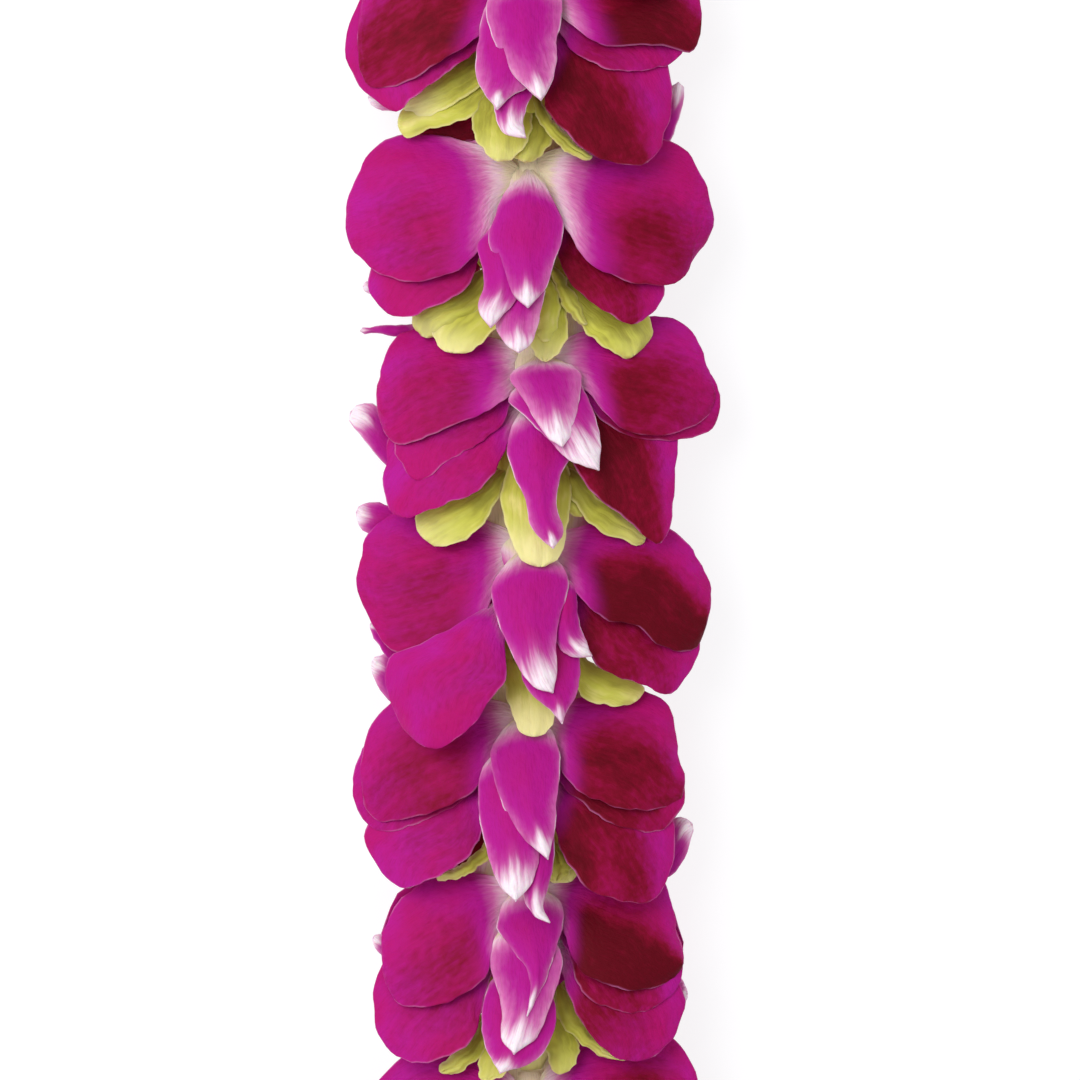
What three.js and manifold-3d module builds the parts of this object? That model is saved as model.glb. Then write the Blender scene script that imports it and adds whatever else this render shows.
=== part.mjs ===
// A fresh orchid lei, laid flat on a table: one closed string through 26 tiers of blooms.
// Each tier is four magenta dendrobium blooms, two facing up and two facing down, and behind
// them one yellow-green bloom whose lobes show between the tiers.
// Millimetres, +Z up. The table is z = 0, and the loop's long sides run along Y.
//
// Every blade is drawn flat on the strand and then lifted: "across" is the distance from the
// string to either side, "along" the distance from the tier's root the way the blooms point,
// and "height" how far the surface stands out from the string.
import * as THREE from "three";
import { mergeVertices } from "three/addons/utils/BufferGeometryUtils.js";
import Module from "manifold-3d";

const wasm = await Module();
wasm.setup();

// The loop
const TIERS = 26;
const HALF_GAP = 80; // from the loop's middle to the string of either long side
const STRAIGHT = 210; // length of a long side
const SIDE_BOW = 8; // how far the right side bows out
const LOOP_SHIFT = -SIDE_BOW / 2; // brings the whole loop back over the origin
const STRING_HEIGHT = 13.6; // the string's middle above the table
const ROUTE_STEPS = 1440;
const SMOOTHING = 12; // its direction is taken from this far before a point to this far after
const BEND_AHEAD = 20; // a tier's bend is also looked at this far past its root

// The string and the throats threaded on it
const STRING_RADIUS = 0.6;
const HOLE_RADIUS = 0.96;
const STRING_SIDES = 4;
const THROAT_SIDES = 6;
const GREEN_THROAT_SIDES = 5;
const THROAT_START = -4.5; // where a tier's magenta throat begins, along from its root
const THROAT_END = 14; // where it ends and the green bloom's throat begins
const THROAT_RADIUS = [5.4, 6.2];
const GREEN_THROAT_RADIUS = [5.4, 4.6];
const THROAT_GAP = 0.3; // clear space between two throats
const KNOT_TIER = 19; // the string's ends are tied before this tier
const KNOT_RADIUS = 1.9;
const KNOT_ROOM = 4.6; // clear space along the string for the knot
const TAIL_LENGTH = 4.5;
const TAIL_RADIUS = 0.5;
const TAIL_ANGLES = [35, 145]; // how the two tails stand out, round the string from its left
const TAIL_SIDES = 3;

// How a tier's blades stand out from the string
const BLADE_THICKNESS = 0.8;
const ROOT_HEIGHT = 6.5; // of the common surface at a bloom's root
const RISE = 0.52; // its slope along the strand there
const RISE_FADE = 0.0045; // and how the slope eases off
const LEAST_HEIGHT = 1.5; // of that surface over the string
const EDGE_WIDTH = 34; // half the strand's width
const EDGE_DROP = 0.8; // share of the height that is lost there
const SUNK_HEIGHT = { petal: 4.2, keeled: 4.4, sepal: 4.2, lobe: 3, side: 0 }; // where blades start
const ROOT_PULL = 0.5; // and how near the string, as a share of where they stand out of the throat
const FAR_THROAT = 10; // along from the first blooms' root to the second blooms'
const GREEN_THROAT = 18; // and to the green bloom's
const LIFT = { petal: 0, keeled: 2.2, sepal: 2.2, lobe: -2.5, side: 0 }; // over that surface
const SEPAL_KEEL = 1.1; // height of a sepal's folded middle

// The table presses the lower blooms flat: the least height of each kind's lower face
const PRESSED = { keeled: 0, sepal: 0, petal: 1.2, lobe: 3.4, side: 0 };

// Outlines, as rows of [share of the length, half-width as a share of the width, has a middle point]
const OUTLINES = {
  petal: [[0, 0, false], [0.36, 0.44, false], [0.76, 0.46, false], [1, 0.16, false]],
  keeled: [[0, 0, false], [0.45, 0.5, true], [1, 0, false]],
  sepal: [[0, 0, false], [0.4, 0.5, false], [1, 0, false]],
  side: [[0, 0, false], [0.4, 0.5, false], [1, 0, false]],
  lobe: [[0, 0, false], [0.58, 0.5, false], [1, 0.26, false]],
};

// Six tiers as they hang one after another on a real strand. Each blade is
// [across, along, heading, length, width]: its root, the angle it points to the right of
// straight along the strand, and its size. near and far are the petals of the tier's first and
// second bloom, lobes the green bloom's, and sides the lower blooms' sepals that reach out at the
// strand's edge. A row of sepals ends with how far along its bloom sits.
const LAYOUTS = [
  {
    near: [[-4, 0, -66, 32, 26], [5, 0.5, 72.5, 29.5, 26]],
    far: [[-5, 11, -66, 29, 23], [4, 12, 52, 30, 26]],
    sepals: [[0, 0, 8, 25, 13.5, 0], [-5, 4, 3, 25, 12, 3], [-1, 12, -6, 19, 9, 10]],
    lobes: [[-4, 17, -59.5, 23, 11.5], [-1, 19, -10, 18, 11.5], [2, 20, 37, 18, 7.5]],
    sides: [[-4, 9, -54, 34, 9], [4, 6, 64, 31, 9]],
  },
  {
    near: [[-4, 0, -72, 32, 28], [4, 0, 72, 32.5, 28]],
    far: [[-5, 10, -57, 29.5, 25], [4, 10, 46, 28.5, 23]],
    sepals: [[0, 1, 0, 26, 14, 0], [-5, 7, -3, 24, 9.5, 4], [-2, 12.5, -1, 23, 9, 10]],
    lobes: [[-3, 18, -48, 22.5, 12], [1, 18, 4, 18.5, 9], [3, 19, 50, 23, 11.5]],
    sides: [[-4, 9, -64, 35, 7]],
  },
  {
    near: [[-3, 0.5, -71.5, 29.5, 23], [5, 0.5, 71.5, 31.5, 23]],
    far: [[-4, 10, -51, 30, 25], [5, 9, 37, 32, 24]],
    sepals: [[3, 1, 12, 17, 13.5, 0], [4, 3, 25, 20.5, 12, 3], [0, 12, 11, 24.5, 11, 10]],
    lobes: [[-3, 20, -51, 21.5, 11], [0, 19, 6, 22, 12], [4, 20, 46, 21.5, 9]],
    sides: [[-4, 4, -70, 34, 10], [-4, 8, -47.5, 40, 10]],
  },
  {
    near: [[-4, 0, -70, 30.5, 26], [5, 1, 70, 31, 27]],
    far: [[-5, 11, -35, 31.5, 25], [5, 11, 61, 29.5, 22]],
    sepals: [[0, 1, 6, 27, 15, 0], [5, 9, 16, 14, 8, 4], [2, 13, 9, 21, 12, 10]],
    lobes: [[-4, 17, -50, 21, 11], [-1, 19, 4, 19, 10], [5, 18, 48, 20.5, 11.5]],
    sides: [[-4, 8, -57.5, 34.5, 9], [-4, 6, -60, 32, 9]],
  },
  {
    near: [[-6, 0, -66, 30, 25], [5, 1, 64.5, 28, 25]],
    far: [[-6, 12, -57, 28, 22], [5, 11, 45, 29, 24]],
    sepals: [[0, 0, 9, 25, 14, 0], [-4, 6, 3, 26, 12, 4], [2, 12.5, 1.5, 24.5, 7, 10]],
    lobes: [[-4, 18, -46, 19, 8], [0, 19, 0, 15, 10], [4, 19, 35, 15, 8]],
    sides: [[4, 9, 62.5, 34, 10], [-4, 8, -41, 39, 8]],
  },
  {
    near: [[-4, 1, -61.5, 28, 25], [4, 1, 63, 28, 26]],
    far: [[-6, 12, -53, 28, 23], [5, 10, 47, 28, 24]],
    sepals: [[0, 0, -2.5, 19, 12, 0], [-3, 5, 1, 21, 13, 4], [2, 10, 6, 20, 10, 10]],
    lobes: [[-5, 17, -35, 20, 8], [-1, 19, -4, 17, 9], [4, 17, 42, 19, 9]],
    sides: [[-4, 7, -74, 31, 8], [4, 9, 61, 32, 9]],
  },
];
const PHOTO_TIER = 3; // the layout of the tier at the middle of the left side
const LOWER_LAYOUT_STEP = 2; // the downward blooms of a tier use the layout this many further on
const LOWER_PETAL_SIZE = 0.87; // and their petals, pressed together, are this share of its size
const PHOTO_TIERS = 3; // tiers this near the middle of the left side follow their layout exactly

// Every other tier draws its own small differences from one seeded sequence
const SEED = 20711;
const HEADING_JITTER = 5;
const LENGTH_JITTER = 0.05;
const ROOT_JITTER = 0.8;

let drawState = SEED;
function draw() {
  drawState = (drawState * 1664525 + 1013904223) % 4294967296;
  return (2 * drawState) / 4294967296 - 1;
}

// The string's route: two long sides and two half circles, the right side bowed out. It runs
// down the left side, so that the blooms there point along -Y, and starts at its middle.
function routePoint(distance) {
  const arc = Math.PI * HALF_GAP;
  let x, y;
  if (distance < STRAIGHT / 2) {
    [x, y] = [-HALF_GAP, -distance];
  } else if (distance < STRAIGHT / 2 + arc) {
    const turn = (distance - STRAIGHT / 2) / HALF_GAP;
    [x, y] = [-HALF_GAP * Math.cos(turn), -STRAIGHT / 2 - HALF_GAP * Math.sin(turn)];
  } else if (distance < 1.5 * STRAIGHT + arc) {
    [x, y] = [HALF_GAP, distance - STRAIGHT - arc];
  } else if (distance < 1.5 * STRAIGHT + 2 * arc) {
    const turn = (distance - 1.5 * STRAIGHT - arc) / HALF_GAP;
    [x, y] = [HALF_GAP * Math.cos(turn), STRAIGHT / 2 + HALF_GAP * Math.sin(turn)];
  } else {
    [x, y] = [-HALF_GAP, 2 * STRAIGHT + 2 * arc - distance];
  }
  const right = (1 + x / HALF_GAP) / 2;
  const bow = SIDE_BOW * right * right * Math.cos((Math.PI * y) / (STRAIGHT + 2 * HALF_GAP)) ** 2;
  return new THREE.Vector2(x + bow + LOOP_SHIFT, y);
}

// The route as points, with the length along it up to each
const routeTotal = 2 * STRAIGHT + 2 * Math.PI * HALF_GAP;
const route = [];
for (let i = 0; i <= ROUTE_STEPS; i++) {
  const point = routePoint((i / ROUTE_STEPS) * routeTotal * (1 - 1e-12));
  const before = route[i - 1];
  route.push({ point, length: before ? before.length + before.point.distanceTo(point) : 0 });
}
const routeLength = route[ROUTE_STEPS].length;
const PITCH = routeLength / TIERS;

// The point at a length along the route, which is closed
function alongRoute(length) {
  const wrapped = ((length % routeLength) + routeLength) % routeLength;
  let low = 0;
  let high = ROUTE_STEPS;
  while (high - low > 1) {
    const middle = (low + high) >> 1;
    if (route[middle].length <= wrapped) low = middle;
    else high = middle;
  }
  const share = (wrapped - route[low].length) / (route[high].length - route[low].length);
  return route[low].point.clone().lerp(route[high].point, share);
}

// The route's direction, which turns smoothly
function directionAt(length) {
  return alongRoute(length + SMOOTHING).sub(alongRoute(length - SMOOTHING)).normalize();
}

// How sharply the route turns, positive to the left
function bendAt(length) {
  const before = directionAt(length - SMOOTHING);
  const after = directionAt(length + SMOOTHING);
  return before.cross(after) / (2 * SMOOTHING);
}

// A tier's bend: the route's at its root or further on, whichever is less
function tierBend(start) {
  const [first, second] = [bendAt(start), bendAt(start + BEND_AHEAD)];
  return Math.abs(first) < Math.abs(second) ? first : second;
}

// A point of the strand in the lei's own frame. A blade keeps its real length round a bend.
function place(tier, across, along, height) {
  const length = tier.start + along / (1 - tier.bend * across);
  const direction = directionAt(length);
  const middle = alongRoute(length);
  return new THREE.Vector3(
    middle.x - direction.y * across,
    middle.y + direction.x * across,
    STRING_HEIGHT + height,
  );
}

// The common surface that a bloom rooted at along = 0 lies on. It rises all along the strand,
// so that a bloom rooted further on lies under it everywhere.
function layHeight(across, along) {
  const middle = Math.max(LEAST_HEIGHT, ROOT_HEIGHT + RISE * along - RISE_FADE * along * along);
  return middle * (1 - EDGE_DROP * (across / EDGE_WIDTH) ** 2);
}

// One blade as a thin closed solid. face is 1 for a bloom that faces up and -1 for one that
// faces down; level is where its bloom sits along the tier.
function blade(tier, kind, face, level, [across, along, heading, length, width]) {
  const outline = OUTLINES[kind];
  const turn = THREE.MathUtils.degToRad(heading);
  const rows = [];
  const points = [];
  outline.forEach(([share, half, hasMiddle], rowIndex) => {
    const offsets = half === 0 ? [0] : hasMiddle ? [-1, 0, 1] : [-1, 1];
    rows.push(
      offsets.map((side) => {
        const forward = share * length;
        const sideways = side * half * width;
        const u = across + forward * Math.sin(turn) + sideways * Math.cos(turn);
        const a = along + forward * Math.cos(turn) - sideways * Math.sin(turn);
        const rise = side === 0 && hasMiddle ? SEPAL_KEEL : 0;
        const passed = a / (1 - tier.bend * u) - level;
        const lying = kind === "side" ? 0 : layHeight(u, passed) + LIFT[kind] + rise;
        const sunk = rowIndex === 0;
        points.push({ u: sunk ? u * ROOT_PULL : u, a, height: sunk ? SUNK_HEIGHT[kind] : lying });
        return points.length - 1;
      }),
    );
  });

  const positions = [];
  for (const shift of [0.5, -0.5]) {
    for (const { u, a, height } of points) {
      const bottom = PRESSED[kind] - STRING_HEIGHT + (shift * face + 0.5) * BLADE_THICKNESS;
      const pressed = Math.max(face * (height + shift * BLADE_THICKNESS), bottom);
      positions.push(...place(tier, u, a, pressed).toArray());
    }
  }

  const count = points.length;
  const triangles = [];
  const addFace = (i, j, k) => {
    triangles.push([i, j, k], [count + i, count + k, count + j]);
  };
  for (let r = 0; r + 1 < rows.length; r++) stitch(rows[r], rows[r + 1], addFace);
  const rim = [...rows.map((row) => row[0]), ...rows.map((row) => row[row.length - 1]).reverse()];
  const outlinePoints = rim.filter((point, i) => point !== rim[(i + 1) % rim.length]);
  outlinePoints.forEach((point, i) => {
    const next = outlinePoints[(i + 1) % outlinePoints.length];
    triangles.push([point, next, count + next], [point, count + next, count + point]);
  });
  return solid(positions, triangles);
}

// Fills the strip between two rows of one, two or three points, alike on both faces
function stitch(row, next, addFace) {
  let i = 0;
  let j = 0;
  while (i + 1 < row.length || j + 1 < next.length) {
    const rowShare = row.length > 1 ? (i + 0.5) / (row.length - 1) : 2;
    const nextShare = next.length > 1 ? (j + 0.5) / (next.length - 1) : 2;
    if (j + 1 >= next.length || (i + 1 < row.length && rowShare < nextShare)) {
      addFace(row[i], row[i + 1], next[j]);
      i += 1;
    } else {
      addFace(row[i], next[j + 1], next[j]);
      j += 1;
    }
  }
}

// A closed mesh as a solid, turned face out if it was made inside out
function solid(positions, triangles) {
  const at = (i) => new THREE.Vector3().fromArray(positions, 3 * i);
  const volume = triangles.reduce((sum, [i, j, k]) => sum + at(i).dot(at(j).cross(at(k))), 0);
  const facing = volume < 0 ? triangles.map(([i, j, k]) => [i, k, j]) : triangles;
  return new wasm.Manifold(
    new wasm.Mesh({
      numProp: 3,
      vertProperties: new Float32Array(positions),
      triVerts: new Uint32Array(facing.flat()),
    }),
  );
}

// The string runs straight from one joint between two throats to the next
function jointPoint(length) {
  const point = alongRoute(length);
  return new THREE.Vector3(point.x, point.y, STRING_HEIGHT);
}

// The way a throat's end faces, shared with the next throat so that the two stay parallel
function facingAt(length) {
  const direction = directionAt(length);
  return new THREE.Vector3(direction.x, direction.y, 0);
}

// A ring of corners round the string, square to a direction in the table's plane, flat on top
function ring(centre, direction, radius, sides) {
  const across = new THREE.Vector3(-direction.y, direction.x, 0);
  return Array.from({ length: sides }, (_, i) => {
    const angle = Math.PI / 2 + (Math.PI * (2 * i - 1)) / sides;
    return centre
      .clone()
      .addScaledVector(across, radius * Math.cos(angle))
      .add(new THREE.Vector3(0, 0, radius * Math.sin(angle)));
  });
}

// A throat: a straight collar round the string between two joints
function throat(from, to, radii, sides, gapBefore, gapAfter) {
  const [first, last] = [facingAt(from), facingAt(to)];
  const start = jointPoint(from).addScaledVector(first, gapBefore);
  const end = jointPoint(to).addScaledVector(last, -gapAfter);
  const rings = [
    ring(start, first, radii[0], sides),
    ring(end, last, radii[1], sides),
    ring(end, last, HOLE_RADIUS, sides),
    ring(start, first, HOLE_RADIUS, sides),
  ];
  return ringSolid(rings, true);
}

// Rings joined one to the next, the last to the first if closed, or capped at both ends
function ringSolid(rings, closed) {
  const sides = rings[0].length;
  const positions = rings.flat().flatMap((corner) => corner.toArray());
  const triangles = [];
  const steps = closed ? rings.length : rings.length - 1;
  for (let r = 0; r < steps; r++) {
    const next = (r + 1) % rings.length;
    for (let i = 0; i < sides; i++) {
      const [a, b] = [r * sides + i, r * sides + ((i + 1) % sides)];
      const [c, d] = [next * sides + i, next * sides + ((i + 1) % sides)];
      triangles.push([a, b, c], [b, d, c]);
    }
  }
  if (!closed) {
    const last = (rings.length - 1) * sides;
    for (let i = 1; i + 1 < sides; i++) {
      triangles.push([0, i + 1, i], [last, last + i, last + i + 1]);
    }
  }
  return solid(positions, triangles);
}

// The joints between throats, in order along the string
function joints() {
  const lengths = [];
  for (let t = 0; t < TIERS; t++) {
    lengths.push(t * PITCH + THROAT_START, t * PITCH + THROAT_END);
  }
  return lengths;
}

// The string, with the knot that closes it
function stringSolid() {
  const lengths = joints();
  const corners = lengths.map(jointPoint);
  const rings = corners.map((corner, i) => {
    return ring(corner, facingAt(lengths[i]), STRING_RADIUS, STRING_SIDES);
  });
  const loop = ringSolid(rings, true);
  const knotCentre = jointPoint(KNOT_TIER * PITCH + THROAT_START);
  const ball = new THREE.IcosahedronGeometry(KNOT_RADIUS, 0).translate(...knotCentre.toArray());
  const tails = TAIL_ANGLES.map((angle) => {
    const turn = THREE.MathUtils.degToRad(angle);
    const away = directionAt(KNOT_TIER * PITCH + THROAT_START);
    const out = new THREE.Vector3(-away.y * Math.cos(turn), away.x * Math.cos(turn), Math.sin(turn));
    const up = new THREE.Vector3(away.x, away.y, 0);
    const side = out.clone().cross(up);
    const rings = [0, TAIL_LENGTH].map((distance) =>
      Array.from({ length: TAIL_SIDES }, (_, i) => {
        const corner = (2 * Math.PI * i) / TAIL_SIDES;
        return knotCentre
          .clone()
          .addScaledVector(out, distance)
          .addScaledVector(up, TAIL_RADIUS * Math.cos(corner))
          .addScaledVector(side, TAIL_RADIUS * Math.sin(corner));
      }),
    );
    return ringSolid(rings, false);
  });
  return wasm.Manifold.union([loop, fromGeometry(ball), ...tails]);
}

// A three.js geometry as a solid
function fromGeometry(geometry) {
  geometry.deleteAttribute("normal");
  geometry.deleteAttribute("uv");
  const merged = mergeVertices(geometry);
  const index = merged.index.array;
  const triangles = [];
  for (let i = 0; i < index.length; i += 3) triangles.push([index[i], index[i + 1], index[i + 2]]);
  return solid(Array.from(merged.attributes.position.array), triangles);
}

// A blade's numbers with this tier's own small differences
function vary([across, along, heading, length, width, level], exact, size) {
  const amount = exact ? 0 : 1;
  const scale = size * (1 + amount * LENGTH_JITTER * draw());
  return [
    across + amount * ROOT_JITTER * draw(),
    along + amount * ROOT_JITTER * draw(),
    heading + amount * HEADING_JITTER * draw(),
    length * scale,
    width * scale,
    level,
  ];
}

// The other side of the strand, as a mirror sees it
function mirrored([across, along, heading, ...rest]) {
  return [-across, along, -heading, ...rest];
}

function layoutOf(index, step) {
  return LAYOUTS[(((index + step) % LAYOUTS.length) + LAYOUTS.length) % LAYOUTS.length];
}

// One tier: its magenta blooms and its green bloom, each as one solid
function tierSolids(index) {
  const start = index * PITCH;
  const tier = { start, bend: tierBend(start) };
  const fromMiddle = Math.min(index, TIERS - index);
  const exact = fromMiddle <= PHOTO_TIERS;
  const signed = index <= TIERS / 2 ? index : index - TIERS;
  const knotNext = index + 1 === KNOT_TIER;
  const knotHere = index === KNOT_TIER;
  const halfGap = THROAT_GAP / 2;
  const halfRoom = KNOT_ROOM / 2;

  const magenta = [
    throat(
      start + THROAT_START,
      start + THROAT_END,
      THROAT_RADIUS,
      THROAT_SIDES,
      knotHere ? halfRoom : halfGap,
      halfGap,
    ),
  ];
  const green = [
    throat(
      start + THROAT_END,
      start + PITCH + THROAT_START,
      GREEN_THROAT_RADIUS,
      GREEN_THROAT_SIDES,
      halfGap,
      knotNext ? halfRoom : halfGap,
    ),
  ];
  for (const face of [1, -1]) {
    const layout = layoutOf(signed, PHOTO_TIER + (face > 0 ? 0 : LOWER_LAYOUT_STEP));
    const petalSize = face > 0 ? 1 : LOWER_PETAL_SIZE;
    const own = (numbers, size = 1) => vary(face > 0 ? numbers : mirrored(numbers), exact, size);
    for (const numbers of layout.near) {
      magenta.push(blade(tier, "petal", face, 0, own(numbers, petalSize)));
    }
    for (const numbers of layout.far) {
      magenta.push(blade(tier, "petal", face, FAR_THROAT, own(numbers, petalSize)));
    }
    for (const numbers of face > 0 ? layout.sepals : layout.sepals.slice(0, 1)) {
      const sepal = own(numbers);
      const keeled = face > 0 && numbers !== layout.sepals[1];
      magenta.push(blade(tier, keeled ? "keeled" : "sepal", face, sepal[5], sepal));
    }
    for (const numbers of face > 0 ? layout.lobes : [layout.lobes[0], layout.lobes[2]]) {
      green.push(blade(tier, "lobe", face, GREEN_THROAT, own(numbers)));
    }
  }
  for (const numbers of layoutOf(signed, PHOTO_TIER).sides) {
    magenta.push(blade(tier, "side", 1, 0, vary(numbers, exact, 1)));
  }
  return { magenta: wasm.Manifold.union(magenta), green: wasm.Manifold.union(green) };
}

// A solid as a named mesh
function mesh(name, made, material) {
  const data = made.getMesh();
  const geometry = new THREE.BufferGeometry();
  geometry.setAttribute("position", new THREE.BufferAttribute(data.vertProperties, 3));
  geometry.setIndex(new THREE.BufferAttribute(data.triVerts, 1));
  geometry.computeVertexNormals();
  const named = new THREE.Mesh(geometry, material);
  named.name = name;
  return named;
}

const magentaMaterial = new THREE.MeshStandardMaterial({ color: 0xba1f69, roughness: 0.55, metalness: 0 });
const greenMaterial = new THREE.MeshStandardMaterial({ color: 0xd1cb5b, roughness: 0.6, metalness: 0 });
const stringMaterial = new THREE.MeshStandardMaterial({ color: 0xe9e4d4, roughness: 0.9, metalness: 0 });

const lei = new THREE.Group();
lei.add(mesh("string", stringSolid(), stringMaterial));
for (let index = 0; index < TIERS; index++) {
  const label = String(index + 1).padStart(2, "0");
  const { magenta, green } = tierSolids(index);
  lei.add(mesh("magenta_blooms_" + label, magenta, magentaMaterial));
  lei.add(mesh("green_bloom_" + label, green, greenMaterial));
}

export default lei;
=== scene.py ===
# Fine petals and string for a fresh orchid lei, laid over the solid model of the same lei.
# Shapes are worked out in millimetres in the solid model's frame, and become metres in add_piece.
import math
import random
from types import SimpleNamespace

import bpy
import numpy as np
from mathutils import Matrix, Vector


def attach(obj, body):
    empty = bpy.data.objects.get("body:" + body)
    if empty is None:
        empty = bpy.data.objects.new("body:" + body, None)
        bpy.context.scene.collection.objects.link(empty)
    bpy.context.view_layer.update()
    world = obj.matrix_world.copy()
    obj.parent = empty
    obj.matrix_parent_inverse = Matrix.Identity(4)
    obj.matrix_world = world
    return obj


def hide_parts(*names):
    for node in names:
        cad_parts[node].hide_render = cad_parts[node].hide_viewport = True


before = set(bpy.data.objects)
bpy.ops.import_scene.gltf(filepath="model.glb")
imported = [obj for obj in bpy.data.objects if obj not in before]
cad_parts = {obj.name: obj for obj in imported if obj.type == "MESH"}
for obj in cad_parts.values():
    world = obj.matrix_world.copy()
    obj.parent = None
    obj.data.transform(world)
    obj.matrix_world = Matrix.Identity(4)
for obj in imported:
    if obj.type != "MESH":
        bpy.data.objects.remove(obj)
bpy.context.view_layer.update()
MM = 0.001

# The loop and the throats on its string, as in the solid model
TIERS = 26
HALF_GAP = 80
STRAIGHT = 210
SIDE_BOW = 8
LOOP_SHIFT = -SIDE_BOW / 2
STRING_HEIGHT = 13.6
ROUTE_STEPS = 1440
SMOOTHING = 12
BEND_AHEAD = 20
STRING_RADIUS = 0.6
THROAT_START = -4.5
THROAT_END = 14
THROAT_RADIUS = (5.4, 6.2)
GREEN_THROAT_RADIUS = (5.4, 4.6)
THROAT_GAP = 0.3
KNOT_TIER = 19
KNOT_RADIUS = 1.9
KNOT_ROOM = 4.6
TAIL_LENGTH = 4.5
TAIL_RADIUS = 0.5
TAIL_ANGLES = (35, 145)

# The surfaces that the blades lie on, as in the solid model
ROOT_HEIGHT = 6.5
RISE = 0.52
RISE_FADE = 0.0045
LEAST_HEIGHT = 1.5
EDGE_WIDTH = 34
EDGE_DROP = 0.8
ROOT_PULL = 0.5
ROOT_SHARE = 0.26
SUNK_HEIGHT = {"petal": 4.2, "sepal": 4.4, "lobe": 3.0, "side": 0.0, "base": 4.2}
LIFT = {"petal": 0.0, "sepal": 2.2, "lobe": -2.5, "side": 0.0, "base": 0.0}
PRESSED = {"petal": 1.2, "sepal": 0.0, "lobe": 3.4, "side": 0.0, "base": 2.0}
PHOTO_TIER = 3
LOWER_LAYOUT_STEP = 2
LOWER_PETAL_SIZE = 0.87
PHOTO_TIERS = 3
SEED = 20711
DRAW_FACTOR = 1664525
DRAW_STEP = 1013904223
DRAW_RANGE = 2**32
HEADING_JITTER = 5
LENGTH_JITTER = 0.05
ROOT_JITTER = 0.8

# Six tiers of blades as outlines on one drawing sheet, in steps of 0.19 mm. On the sheet the string
# runs down at 530, and the tiers start at -20.7 and every 186.9 below it.
SHEET_STEP = 0.19
SHEET_STRING = 530
SHEET_FIRST = -20.7
SHEET_PITCH = 186.9

# Each blade: kind, level (a greater one lies lower), dark share, pale share, root, the margin on one
# side from root to tip, the tip, and the margin on the other side from root to tip. The first four
# petals and first three lobes of a tier are also solids, and the others only show here.
# The dark and pale shares are partly painted light and shade: the dark share is greater on the right-hand
# petals, which face away from the key light, and blades that lie in the shadow of others have a greater pale
# share and a smaller dark share.
BLADE_PARTS = ("kind", "level", "dark", "pale", "root", "one", "tip", "two")
FIRST_TIER = [
    ("petal", 0, 0.8, 0.3, (518, -15), [(500, -45), (460, -70), (415, -72), (378, -45), (360, -10)],
     (355, 35), [(505, 5), (485, 28), (455, 52), (420, 74), (392, 84), (370, 83), (358, 68)]),
    ("petal", 0, 1.0, 0.7, (540, -14), [(550, -45), (590, -75), (640, -80), (680, -60), (700, -25)],
     (703, 15), [(556, 0), (572, 22), (595, 40), (630, 43), (665, 42), (690, 47), (698, 36)]),
    ("petal", 6, 0.4, 0.2, (512, 0), [(470, -25), (420, -35), (370, -20), (349, 10), (343, 42), (350, 68)],
     (390, 109), [(495, 30), (470, 55), (440, 75), (412, 98)]),
    ("petal", 9, 0.95, 0.2, (540, 8), [(570, 0), (620, 10), (655, 35), (670, 68), (674, 95), (670, 120)],
     (648, 160), [(548, 40), (546, 80), (546, 108), (562, 130), (585, 150), (615, 162)]),
    ("petal", 6, 0.5, 0.4, (542, -5), [(570, -30), (620, -45), (670, -35), (690, 0), (690, 35)],
     (672, 58), [(556, 22), (575, 50), (598, 64), (630, 68), (655, 65)]),
    ("petal", 38, 0.9, 0.0, (515, 50), [(490, 55), (460, 80), (430, 105)],
     (414, 122), [(502, 85), (494, 115), (474, 135), (442, 138)]),
    ("sepal", 0, 0.3, 0.5, (528, -30), [(500, -20), (488, -2), (487, 18), (494, 42), (503, 62), (518, 82)],
     (541, 104), [(550, -25), (562, -5), (561, 20), (556, 42), (557, 62), (551, 86)]),
    ("sepal", 3, 0.1, 0.35, (512, -20), [(494, -8), (482, 15), (478, 40), (476, 68), (480, 88)],
     (497, 113), [(520, 10), (530, 50), (528, 88), (512, 98)]),
    ("sepal", 10, 0.0, 1.0, (515, 40), [(497, 70), (495, 95), (495, 115), (502, 134)],
     (526, 141), [(530, 60), (535, 85), (528, 105), (523, 125)]),
    ("lobe", 15, 0.0, 0.9, (500, 30), [(475, 35), (440, 55), (410, 68)],
     (398, 92), [(490, 70), (478, 84), (460, 98), (438, 109), (412, 115)]),
    ("lobe", 17, 0.2, 0.3, (510, 75), [(485, 88), (473, 108), (473, 128), (483, 150)],
     (498, 161), [(525, 85), (532, 105), (532, 130), (518, 152)]),
    ("lobe", 16, 0.5, 0.1, (528, 75), [(541, 98), (550, 115), (566, 133), (580, 146)],
     (592, 156), [(532, 100), (543, 124), (556, 142), (574, 153)]),
    ("lobe", 18, 0.6, 0.1, (500, 60), [(475, 75), (440, 95), (405, 100)],
     (396, 118), [(490, 95), (470, 114), (448, 123), (425, 127), (404, 135)]),
    ("lobe", 20, 0.7, 0.1, (528, 75), [(517, 95), (515, 120), (512, 145)],
     (522, 160), [(540, 95), (550, 115), (554, 135), (543, 152)]),
    ("side", 0, 0.0, 0.9, (430, 75), [(400, 82), (380, 85)], (365, 92), [(405, 100), (385, 106)]),
    ("side", 0, 0.0, 0.8, (640, 150), [(662, 120), (672, 92)],
     (681, 74), [(666, 142), (679, 118), (686, 90)]),
]
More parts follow.
